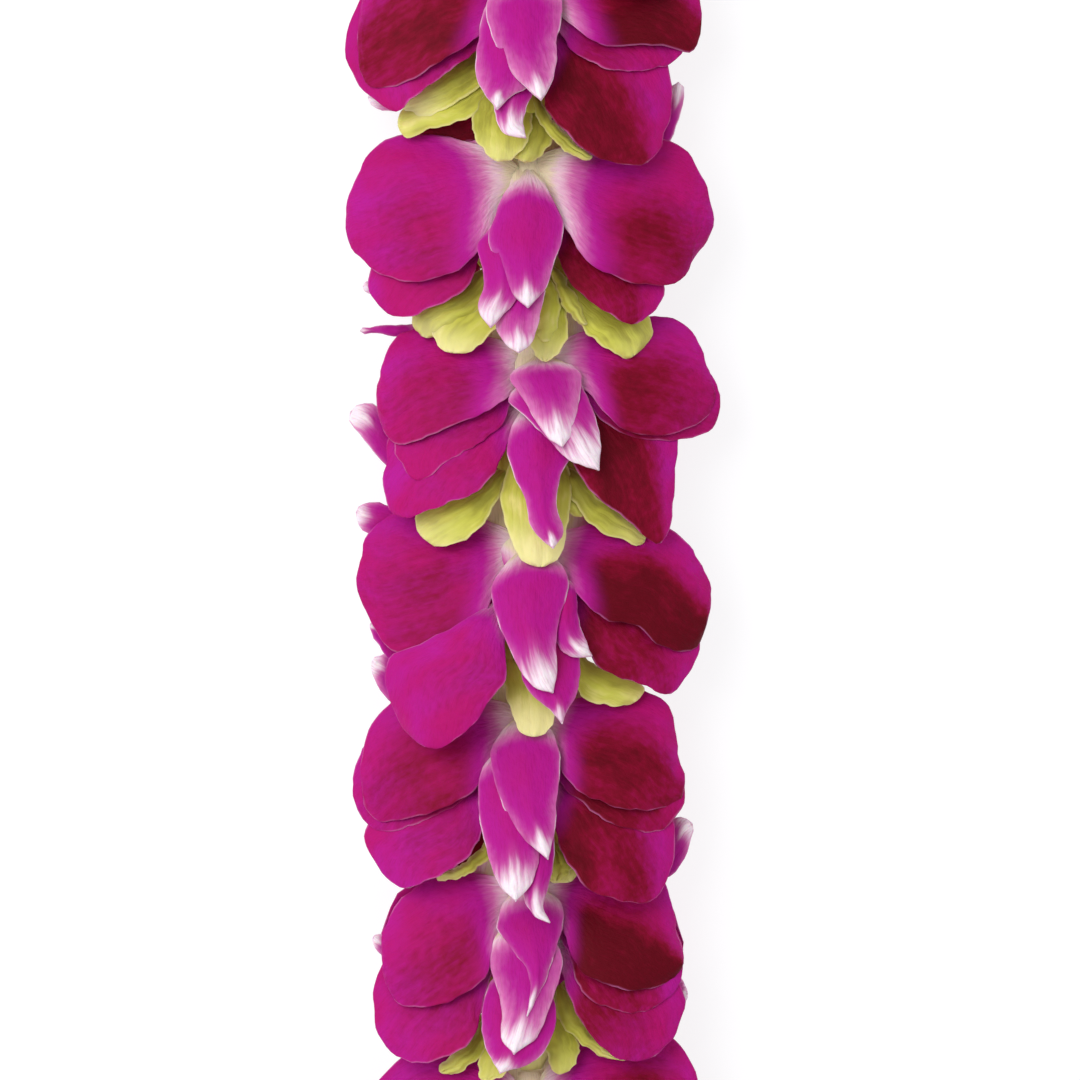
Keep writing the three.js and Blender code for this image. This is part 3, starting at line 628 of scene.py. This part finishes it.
def sepal_tones(on, dark, light, drift):
    share, side = on.share, on.side
    # Painted light: a sepal with a greater pale share, one that lies more in the light, is washed paler.
    pale = 0.16 + 0.2 * min(light, 0.6) + drift + 0.32 * side**2 + 0.2 * smooth_step(0.45, 0.85, share)
    pale = pale + 0.95 * (1 - smooth_step(0.06, 0.36, share))
    tip = smooth_step(0.97 - 0.46 * light, 1.02, share + 0.07 * peak(side, 0, 0.25))
    # Painted highlight: a pale rim along the sepal's margins.
    rim = 1.6 * np.clip(1 - on.margin / HIGHLIGHT_RIM_WIDTH, 0, 1) * smooth_step(0.1, 0.4, share)
    # Partly painted shade: the dark patch lies beside the midrib on the side turned from the key light.
    return pale, tip, rim, dark * peak(share, 0.45, 0.3) * peak(side, 0.3, 0.6)


def lobe_tones(on, dark, light, drift):
    share, side = on.share, on.side
    pale = 1 - smooth_step(0.1, 0.45, share)
    tip = smooth_step(0.4, 1, share) * (0.4 + light)
    # Painted shade: a lobe is darker towards its root, under the blades above, and along a crease near the
    # root; its dark share and a random tone of its own add to this.
    fold = dark * (0.35 + peak(side, 3 * drift, 0.4) * (1 - share)) + 2 * drift
    fold = fold + 0.5 * (1 - smooth_step(0.3, 0.75, share))
    return pale, tip, np.clip(1 - on.margin / LOBE_RIM_WIDTH, 0, 1), fold


def base_tones(on, dark, light, drift):
    nothing = 0 * on.share
    return light * (0.5 + 0.65 * smooth_step(0, 6, on.margin)), nothing, nothing, nothing


TONES = {
    "petal": petal_tones, "sepal": sepal_tones, "lobe": lobe_tones, "side": sepal_tones, "base": base_tones,
}


def add_blade(gathering, tier, blade, face, grid, own):
    kind = blade["kind"]
    on = blade_surface(tier, blade, face, grid, own)
    vertices, faces = shell(on, THICKNESS[kind], face)
    tones = TONES[kind](on, blade["dark"], blade["pale"], own.uniform(-0.12, 0.12))
    tone = np.stack(tones, axis=-1).reshape(-1, 4)
    seed = np.full_like(on.share, own.uniform(0, 900))
    straighter = smooth_step(0.3, 0.8, on.share)
    vein_side = on.side * (on.spread * straighter + on.spread.max() * (1 - straighter))
    vein = np.stack([vein_side, on.share * on.reach, seed], axis=-1).reshape(-1, 3)
    gathering.add(vertices, faces, np.concatenate([tone, tone]), np.concatenate([vein, vein]))


# The four-sided faces of a tube of rings. In a closed one, the last ring joins the first.
def tube_faces(rings, sides, closed=True):
    index = np.arange(rings * sides).reshape(rings, sides)
    after_ring, after_side = np.roll(index, -1, axis=0), np.roll(index, -1, axis=1)
    faces = np.stack([index, after_side, np.roll(after_ring, -1, axis=1), after_ring], axis=-1)
    return (faces if closed else faces[:-1]).reshape(-1, 4)


# A throat: a fluted collar round the string, closed on itself through its bore
def add_throat(gathering, start, end, radii, gap_before, gap_after, own):
    angles = ring_angles(THROAT_SIDES)
    flute = 1 + 0.05 * np.cos(THROAT_FLUTES * angles + own.uniform(0, 6))
    first, last = direction_at(start), direction_at(end)
    centre_a = np.append(along_route(start) + first * gap_before, STRING_HEIGHT)
    centre_b = np.append(along_route(end) - last * gap_after, STRING_HEIGHT)
    shares = np.append(np.linspace(0, 1, THROAT_RINGS), [1, 0])
    rings = []
    for i, f in enumerate(shares):
        facing = first * (1 - f) + last * f
        across = np.array([-facing[1], facing[0], 0]) / np.linalg.norm(facing)
        end_round = min(1, 0.72 + 1.4 * min(f, 1 - f))
        radius = (radii[0] * (1 - f) + radii[1] * f) * THROAT_TRIM * end_round * flute
        if i >= THROAT_RINGS:
            radius = np.full(THROAT_SIDES, STRING_RADIUS + BORE_ROOM)
        sideways = np.outer(radius * np.cos(angles), across)
        upwards = np.outer(radius * np.sin(angles), (0, 0, 1))
        rings.append(centre_a * (1 - f) + centre_b * f + sideways + upwards)
    share = np.repeat(shares, THROAT_SIDES)
    tone = np.stack([THROAT_PALE + 0 * share, 0 * share, 0 * share, 0 * share], axis=-1)
    around = np.tile(angles, len(rings))
    vein = np.stack([6 * around, share * 18, np.full_like(share, own.uniform(0, 900))], axis=-1)
    gathering.add(np.concatenate(rings), tube_faces(len(rings), THROAT_SIDES), tone, vein)


def add_object(name, data):
    made = bpy.data.objects.new(name, data)
    bpy.context.scene.collection.objects.link(made)
    return made


# A mesh object from gathered parts, riding on the lei's only body
def add_piece(name, gathering, material, node):
    vertices = np.concatenate(gathering.vertices) * MM
    mesh = bpy.data.meshes.new(name)
    mesh.from_pydata(vertices.tolist(), [], np.concatenate(gathering.faces).tolist(), shade_flat=False)
    tone = mesh.attributes.new("tone", "FLOAT_COLOR", "POINT")
    tone.data.foreach_set("color", np.concatenate(gathering.tones).astype(np.float32).ravel())
    vein = mesh.attributes.new("vein", "FLOAT_VECTOR", "POINT")
    vein.data.foreach_set("vector", np.concatenate(gathering.veins).astype(np.float32).ravel())
    mesh.validate()
    mesh.materials.append(material)
    piece = add_object(name, mesh)
    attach(piece, "root")
    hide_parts(node)


# Materials. Colours are linear.
MAGENTA = (0.46, 0.005, 0.155, 1)
VIOLET = (0.46, 0.009, 0.28, 1)
CRIMSON = (0.25, 0.002, 0.026, 1)
MAROON = (0.12, 0.001, 0.008, 1)
PINK = (0.68, 0.18, 0.46, 1)
BLUSH = (0.92, 0.64, 0.76, 1)
TIP_WHITE = (0.97, 0.84, 0.92, 1)
# Painted light: the tan of the roots, shields and throats is made lighter to make up for the shade in these
# hollows.
LIGHTENED_TAN = (0.93, 0.79, 0.57, 1)
CREAM = (0.92, 0.84, 0.42, 1)
CHARTREUSE = (0.60, 0.60, 0.08, 1)
OLIVE = (0.36, 0.34, 0.04, 1)
LEMON = (0.86, 0.79, 0.26, 1)
THREAD = (0.8, 0.77, 0.68, 1)
THREAD_SHADE = (0.5, 0.46, 0.38, 1)


# Short ways to add shader nodes to a material
class Nodes:
    def __init__(self, name):
        self.material = bpy.data.materials.new(name)
        self.material.use_nodes = True
        self.tree = self.material.node_tree
        self.surface = self.tree.nodes["Principled BSDF"]

    def put(self, socket, value):
        if isinstance(value, bpy.types.NodeSocket):
            self.tree.links.new(value, socket)
        else:
            socket.default_value = value

    # The outputs of a new node, with values or links put into its inputs
    def add(self, kind, inputs, **settings):
        node = self.tree.nodes.new("ShaderNode" + kind)
        for name, value in settings.items():
            setattr(node, name, value)
        for key, value in inputs.items():
            self.put(node.inputs[key], value)
        return node.outputs

    def attribute(self, name):
        return self.add("Attribute", {}, attribute_name=name)

    # How pale, the tip, the rim, a painted highlight on petals and sepals, and the heart or fold, which is
    # partly painted shade
    def tones(self):
        tone = self.attribute("tone")
        return *self.add("SeparateColor", {"Color": tone["Color"]}), tone["Alpha"]

    # Noise with so many changes to a millimetre across a blade and along it
    def noise(self, across, along, detail=2.0):
        vein = self.attribute("vein")["Vector"]
        scaled = self.add("VectorMath", {0: vein, 1: (across, along, 1)}, operation="MULTIPLY")
        return self.add("TexNoise", {"Vector": scaled[0], "Scale": 1.0, "Detail": detail})[0]

    def math(self, operation, *values):
        return self.add("Math", dict(enumerate(values)), operation=operation)[0]

    # A value moved up and down by noise, or made greater and less by it
    def moved(self, value, noise, amount):
        return self.math("ADD", value, self.math("MULTIPLY_ADD", noise, amount, -amount / 2))

    def varied(self, value, noise, amount):
        return self.math("MULTIPLY", value, self.math("MULTIPLY_ADD", noise, amount, 1 - amount / 2))

    def step(self, value, low, high):
        inputs = {"Value": value, "From Min": low, "From Max": high}
        return self.add("MapRange", inputs, interpolation_type="SMOOTHSTEP")["Result"]

    def mix(self, share, first, second):
        return self.add("Mix", {0: share, 6: first, 7: second}, data_type="RGBA")[2]

    # A colour laid over another where a value rises from low to high, up to the given part
    def over(self, under, colour, value, low, high, part=1):
        share = self.step(value, low, high)
        if part < 1:
            share = self.math("MULTIPLY", share, part)
        return self.mix(share, under, colour)

    def bump(self, height, distance, under=None):
        inputs = {"Height": height, "Distance": distance}
        if under is not None:
            inputs["Normal"] = under
        return self.add("Bump", inputs)["Normal"]

    def set(self, **values):
        for name, value in values.items():
            self.put(self.surface.inputs[name.replace("_", " ")], value)


def petal_material():
    n = Nodes("magenta_petal")
    pale, tip, rim, heart_and_shade = n.tones()
    streak = n.noise(1.3, 0.1, 3.0)
    hair = n.noise(4.5, 0.5)
    cloud = n.noise(0.14, 0.1)
    mottle = n.noise(0.9, 0.7, 4.0)
    patch = n.step(n.noise(0.2, 0.14), 0.4, 0.62)
    # The crimson and maroon laid from the heart tone are partly painted shade.
    depth = n.moved(n.moved(n.varied(heart_and_shade, cloud, 1.2), streak, 0.36), mottle, 0.6)
    washed = n.varied(n.varied(pale, streak, 0.22), mottle, 0.3)
    tipped = n.math("MULTIPLY", tip, n.math("MULTIPLY_ADD", streak, 1.6, 0.25))
    # Painted highlight: the rim shows in patches along the margins, in pink and near-white.
    rim = n.math("MULTIPLY", rim, n.math("MULTIPLY_ADD", patch, 0.65, 0.45))
    colour = n.over(MAGENTA, VIOLET, n.math("MULTIPLY_ADD", cloud, 1.6, -0.3), 0.2, 0.9)
    colour = n.over(colour, CRIMSON, depth, 0.05, 1.0)
    colour = n.over(colour, MAROON, depth, 0.7, 1.35)
    colour = n.over(colour, VIOLET, washed, 0.05, 0.5)
    colour = n.over(colour, PINK, washed, 0.4, 0.8)
    colour = n.over(colour, BLUSH, washed, 0.65, 1.05)
    colour = n.over(colour, LIGHTENED_TAN, washed, 0.98, 1.3)
    colour = n.over(colour, PINK, tipped, 0.0, 0.6, 0.45)
    colour = n.over(colour, TIP_WHITE, tipped, 0.25, 0.95)
    colour = n.over(colour, PINK, rim, 0.3, 1.0, 0.5)
    colour = n.over(colour, TIP_WHITE, rim, 0.9, 1.6, 0.7)
    colour = n.over(colour, CRIMSON, hair, 0.48, 0.75, 0.2)
    relief = n.bump(hair, 0.00006, n.bump(mottle, 0.0003, n.bump(streak, 0.00008)))
    n.set(Base_Color=colour, Normal=relief, Roughness=0.58, Specular_IOR_Level=0.08)
    n.set(Sheen_Weight=0.04, Sheen_Roughness=0.4, Sheen_Tint=(0.9, 0.25, 0.8, 1))
    n.set(Subsurface_Weight=0.12, Subsurface_Radius=(1.0, 0.1, 0.4), Subsurface_Scale=0.0008)
    return n.material


def lobe_material():
    n = Nodes("green_petal")
    pale, tip, rim, fold = n.tones()
    streak = n.noise(1.2, 0.1, 3.0)
    cloud = n.noise(0.25, 0.18)
    mottle = n.noise(0.7, 0.35, 3.0)
    # The olive laid from the fold tone is partly painted shade.
    depth = n.moved(n.math("MULTIPLY", fold, 0.8), cloud, 1.8)
    depth = n.moved(n.moved(depth, streak, 0.8), mottle, 0.8)
    colour = n.over(LEMON, CHARTREUSE, depth, -0.7, 0.1)
    colour = n.over(colour, OLIVE, depth, 0.0, 0.9)
    colour = n.over(colour, CREAM, tip, 0.1, 1.2, 0.8)
    colour = n.over(colour, CREAM, pale, 0.75, 1.0, 0.6)
    colour = n.over(colour, CREAM, rim, 0.2, 1.0, 0.5)
    relief = n.bump(mottle, 0.00025, n.bump(streak, 0.00022))
    n.set(Base_Color=colour, Normal=relief, Roughness=0.5, Specular_IOR_Level=0.2)
    n.set(Subsurface_Weight=0.2, Subsurface_Radius=(0.8, 1.0, 0.2), Subsurface_Scale=0.001)
    return n.material


def string_material():
    n = Nodes("cotton_string")
    fibre = n.noise(6, 1.5, 3.0)
    colour = n.mix(n.math("MULTIPLY", fibre, 0.35), THREAD, THREAD_SHADE)
    n.set(Base_Color=colour, Normal=n.bump(fibre, 0.00012), Roughness=0.9)
    return n.material


# A blade with each of its points moved
def moved_blade(blade, move):
    one, two = [move(point) for point in blade["one"]], [move(point) for point in blade["two"]]
    return {**blade, "root": move(blade["root"]), "one": one, "tip": move(blade["tip"]), "two": two}


# The blades of a tier by kind, with their points as across and along in it, in millimetres
def sheet_blades(layout):
    start = SHEET_FIRST + SHEET_PITCH * layout

    def from_sheet(point):
        return ((point[0] - SHEET_STRING) * SHEET_STEP, (point[1] - start) * SHEET_STEP)

    blades = {"petal": [], "sepal": [], "lobe": [], "side": []}
    for row in SHEET[layout]:
        blade = dict(zip(BLADE_PARTS, row))
        blades[blade["kind"]].append(moved_blade(blade, from_sheet))
    return blades


# The other side of the strand, as a mirror sees it
def mirrored(blade):
    return moved_blade(blade, lambda point: (-point[0], point[1]))


# A blade resized, turned and shifted a little about its root
def varied(blade, exact, size, draws):
    amount = 0 if exact else 1
    size = size * (1 + amount * LENGTH_JITTER * draws.next())
    shift = [amount * ROOT_JITTER * draws.next(), amount * ROOT_JITTER * draws.next()]
    turn = math.radians(amount * HEADING_JITTER * draws.next())
    root = blade["root"]

    def move(point):
        du, da = (point[0] - root[0]) * size, (point[1] - root[1]) * size
        across = root[0] + shift[0] + du * math.cos(turn) + da * math.sin(turn)
        along = root[1] + shift[1] + da * math.cos(turn) - du * math.sin(turn)
        return (across, along)

    return moved_blade(blade, move)


# The shield under a bloom's roots
def base_blade(step):
    other = [(-across, along) for across, along in BASE_MARGIN]
    row = ("base", BASE_LEVEL + step, 0, BASE_PALE[step], BASE_ROOT, BASE_MARGIN, BASE_TIP, other)
    return moved_blade(dict(zip(BLADE_PARTS, row)), lambda point: (point[0], point[1] + step))


# One tier's throats, blades and shields. The tiers of the photographed stretch are exact.
def add_tier(index, draws, more_draws, materials):
    start = index * PITCH
    tier = {"start": start, "bend": tier_bend(start)}
    exact = min(index, TIERS - index) <= PHOTO_TIERS
    signed = index if index <= TIERS / 2 else index - TIERS
    gap = THROAT_GAP / 2
    before = KNOT_ROOM / 2 if index == KNOT_TIER else gap
    after = KNOT_ROOM / 2 if index + 1 == KNOT_TIER else gap
    gatherings = {"magenta": Gathering(), "green": Gathering()}
    own = random.Random(SEED + index)
    ends = (start + THROAT_START, start + THROAT_END, start + PITCH + THROAT_START)
    add_throat(gatherings["magenta"], ends[0], ends[1], THROAT_RADIUS, before, gap, own)
    add_throat(gatherings["green"], ends[1], ends[2], GREEN_THROAT_RADIUS, gap, after, own)

    def add(blade, face, grid, source, size=1, colour="magenta"):
        if blade["kind"] == "lobe":
            colour = "green"
        facing = blade if face > 0 else mirrored(blade)
        add_blade(gatherings[colour], tier, varied(facing, exact, size, source), face, grid, own)

    layout = (signed + PHOTO_TIER) % len(SHEET)
    upper = sheet_blades(layout)
    lower = sheet_blades((layout + LOWER_LAYOUT_STEP) % len(SHEET))
    upper_grid = FINE_GRID if exact else PLAIN_GRID
    for blade in upper["petal"][:SOLID_PETALS] + upper["sepal"] + upper["lobe"][:SOLID_LOBES]:
        add(blade, 1, upper_grid, draws)
    for blade in lower["petal"][:SOLID_PETALS]:
        add(blade, -1, LOWER_GRID, draws, LOWER_PETAL_SIZE * LOWER_TRIM)
    for blade in lower["sepal"][:1] + [lower["lobe"][0], lower["lobe"][2]]:
        add(blade, -1, LOWER_GRID, draws)
    for blade in upper["side"][: SOLID_SIDES[layout]]:
        add(blade, 1, LOWER_GRID, draws)
    for blade in upper["petal"][SOLID_PETALS:] + upper["lobe"][SOLID_LOBES:]:
        add(blade, 1, upper_grid, more_draws)
    for blade in upper["side"][SOLID_SIDES[layout] :]:
        add(blade, 1, LOWER_GRID, more_draws)
    for colour, steps in BASE_STEPS.items():
        for step in steps:
            for face in (1, -1):
                add(base_blade(step), face, LOWER_GRID, more_draws, colour=colour)
    label = f"{index + 1:02d}"
    for colour, node in (("magenta", "magenta_blooms_"), ("green", "green_bloom_")):
        name = f"{colour}_petals_{label}"
        add_piece(name, gatherings[colour], materials[colour], node + label)


# Adds a tube of thread, whose fibre follows the angle round it and the length along it
def add_thread(gathering, vertices, faces, angles, at):
    around, along = np.tile(angles, len(at)), np.repeat(at, len(angles))
    vein = np.stack([around, along, 0 * along], axis=-1)
    gathering.add(vertices, faces, np.zeros((len(vertices), 4)), vein)


# The knot: the string's ends wound round it, each leaving in a short tail
def add_knot(gathering):
    length = KNOT_TIER * PITCH + THROAT_START
    away = np.append(direction_at(length), 0)
    left = np.array([-away[1], away[0], 0])
    up = np.array([0, 0, 1])
    middle = np.append(along_route(length), STRING_HEIGHT)
    first, last = TAIL_ANGLES[0], TAIL_ANGLES[1] + 360 * KNOT_TURNS
    path = [(first, TAIL_LENGTH, -1.2), (first, TAIL_BEND, -1.1)]
    for angle in np.linspace(first, last, KNOT_POINTS):
        along = ((angle - first) / (last - first) * 2 - 1) * KNOT_HALF_LENGTH
        path.append((angle, KNOT_RADIUS - TAIL_RADIUS, along))
    path += [(last, TAIL_BEND, 1.1), (last, TAIL_LENGTH, 1.2)]
    points = []
    for angle, reach, along in path:
        turn = math.radians(angle)
        points.append(middle + away * along + reach * (left * math.cos(turn) + up * math.sin(turn)))
    centre = curve_through(points, TAIL_RINGS)
    ahead = unit(np.gradient(centre, axis=0))
    one = unit(np.cross(ahead, away))
    two = np.cross(ahead, one)
    at = lengths_along(centre)
    angles = ring_angles(TAIL_SIDES)
    radius = 0.88 + 0.12 * np.cos(PLIES * angles[None, :] - at[:, None] / TWIST * 2 * math.pi)
    near_end = (at < 0.2) | (at > at[-1] - 0.2)
    radius = TAIL_RADIUS * radius * np.where(near_end, 0.7, 1)[:, None]
    over_one = one[:, None] * (radius * np.cos(angles))[..., None]
    over_two = two[:, None] * (radius * np.sin(angles))[..., None]
    vertices = (centre[:, None] + (over_one + over_two)).reshape(-1, 3)
    sleeve = tube_faces(TAIL_RINGS, TAIL_SIDES, closed=False)
    cap = np.array(TAIL_CAP)
    faces = np.concatenate([sleeve[:, ::-1], cap, cap[:, ::-1] + (TAIL_RINGS - 1) * TAIL_SIDES])
    add_thread(gathering, vertices, faces, angles, at)


# The string: three plies twisted together, as one tube with a turning three-lobed section
def add_string(material):
    joints = []
    for tier in range(TIERS):
        joints += [tier * PITCH + THROAT_START, tier * PITCH + THROAT_END]
    corners = along_route(np.array(joints))
    closed = np.vstack([corners, corners[:1]])
    lengths = lengths_along(closed)
    at = np.linspace(0, lengths[-1], STRING_RINGS, endpoint=False)
    centre = np.stack([np.interp(at, lengths, closed[:, k]) for k in (0, 1)], axis=-1)
    ahead = unit(np.roll(centre, -2, axis=0) - np.roll(centre, 2, axis=0))
    turns = round(lengths[-1] / TWIST)
    angles = ring_angles(STRING_SIDES)
    around = angles[None, :] + (at / lengths[-1] * 2 * math.pi * turns)[:, None]
    radius = STRING_RADIUS * (0.86 + 0.14 * np.cos(PLIES * angles))[None, :]
    x = centre[:, None, 0] - ahead[:, None, 1] * radius * np.cos(around)
    y = centre[:, None, 1] + ahead[:, None, 0] * radius * np.cos(around)
    z = STRING_HEIGHT + radius * np.sin(around)
    vertices = np.stack([x, y, z], axis=-1).reshape(-1, 3)
    gathering = Gathering()
    add_thread(gathering, vertices, tube_faces(STRING_RINGS, STRING_SIDES), angles, at)
    add_knot(gathering)
    add_piece("twisted_string", gathering, material, "string")


# The camera's place, field, lens and sensor and the petals' level are in millimetres, the rest in metres
WHITE = (1, 1, 1, 1)
FLOOR_REACH = 3.0
FLOOR_GREY = (0.26, 0.26, 0.28, 1)
FLOOR_GLOW = 0.8
WORLD_STRENGTH = 0.7
KEY_PLACE = (-0.74, 0.42, 1.2)
KEY_TARGET = (-0.05, 0, 0)
KEY_SIZE = 0.9
KEY_POWER = 10.4
KEY_COLOUR = (1, 0.99, 0.98)
CAMERA_REACH = 20
CAMERA_X = -82.1
CAMERA_FIELD = 205.2
CAMERA_LENS = 140
SENSOR = 36
PETAL_LEVEL = 28


def add_floor():
    mesh = bpy.data.meshes.new("floor")
    corners = [(FLOOR_REACH * x, FLOOR_REACH * y, 0) for x, y in ((-1, -1), (1, -1), (1, 1), (-1, 1))]
    mesh.from_pydata(corners, [], [(0, 1, 2, 3)])
    paper = Nodes("floor_paper")
    paper.set(Base_Color=FLOOR_GREY, Roughness=0.9, Specular_IOR_Level=0.0)
    paper.set(Emission_Color=WHITE, Emission_Strength=FLOOR_GLOW)
    mesh.materials.append(paper.material)
    add_object("floor", mesh)


def add_light():
    world = bpy.data.worlds.new("studio")
    world.use_nodes = True
    background = world.node_tree.nodes["Background"].inputs
    background["Color"].default_value = WHITE
    background["Strength"].default_value = WORLD_STRENGTH
    bpy.context.scene.world = world
    light = bpy.data.lights.new("key", "AREA")
    light.energy = KEY_POWER
    light.size = KEY_SIZE
    light.color = KEY_COLOUR
    lamp = add_object("key", light)
    lamp.location = KEY_PLACE
    lamp.rotation_euler = (Vector(KEY_TARGET) - Vector(KEY_PLACE)).to_track_quat("-Z", "Y").to_euler()


def add_camera():
    camera = bpy.data.cameras.new("camera")
    camera.lens = CAMERA_LENS
    camera.sensor_width = SENSOR
    camera.clip_end = CAMERA_REACH
    seen_from = add_object("camera", camera)
    height = PETAL_LEVEL + CAMERA_FIELD * CAMERA_LENS / SENSOR
    seen_from.location = (CAMERA_X * MM, 0, height * MM)
    bpy.context.scene.camera = seen_from


bpy.context.scene.view_settings.view_transform = "Standard"
add_floor()
add_light()
add_camera()
materials = {"magenta": petal_material(), "green": lobe_material()}
draws, more_draws = Draws(SEED), Draws(SEED + 1)
for tier_index in range(TIERS):
    add_tier(tier_index, draws, more_draws, materials)
add_string(string_material())
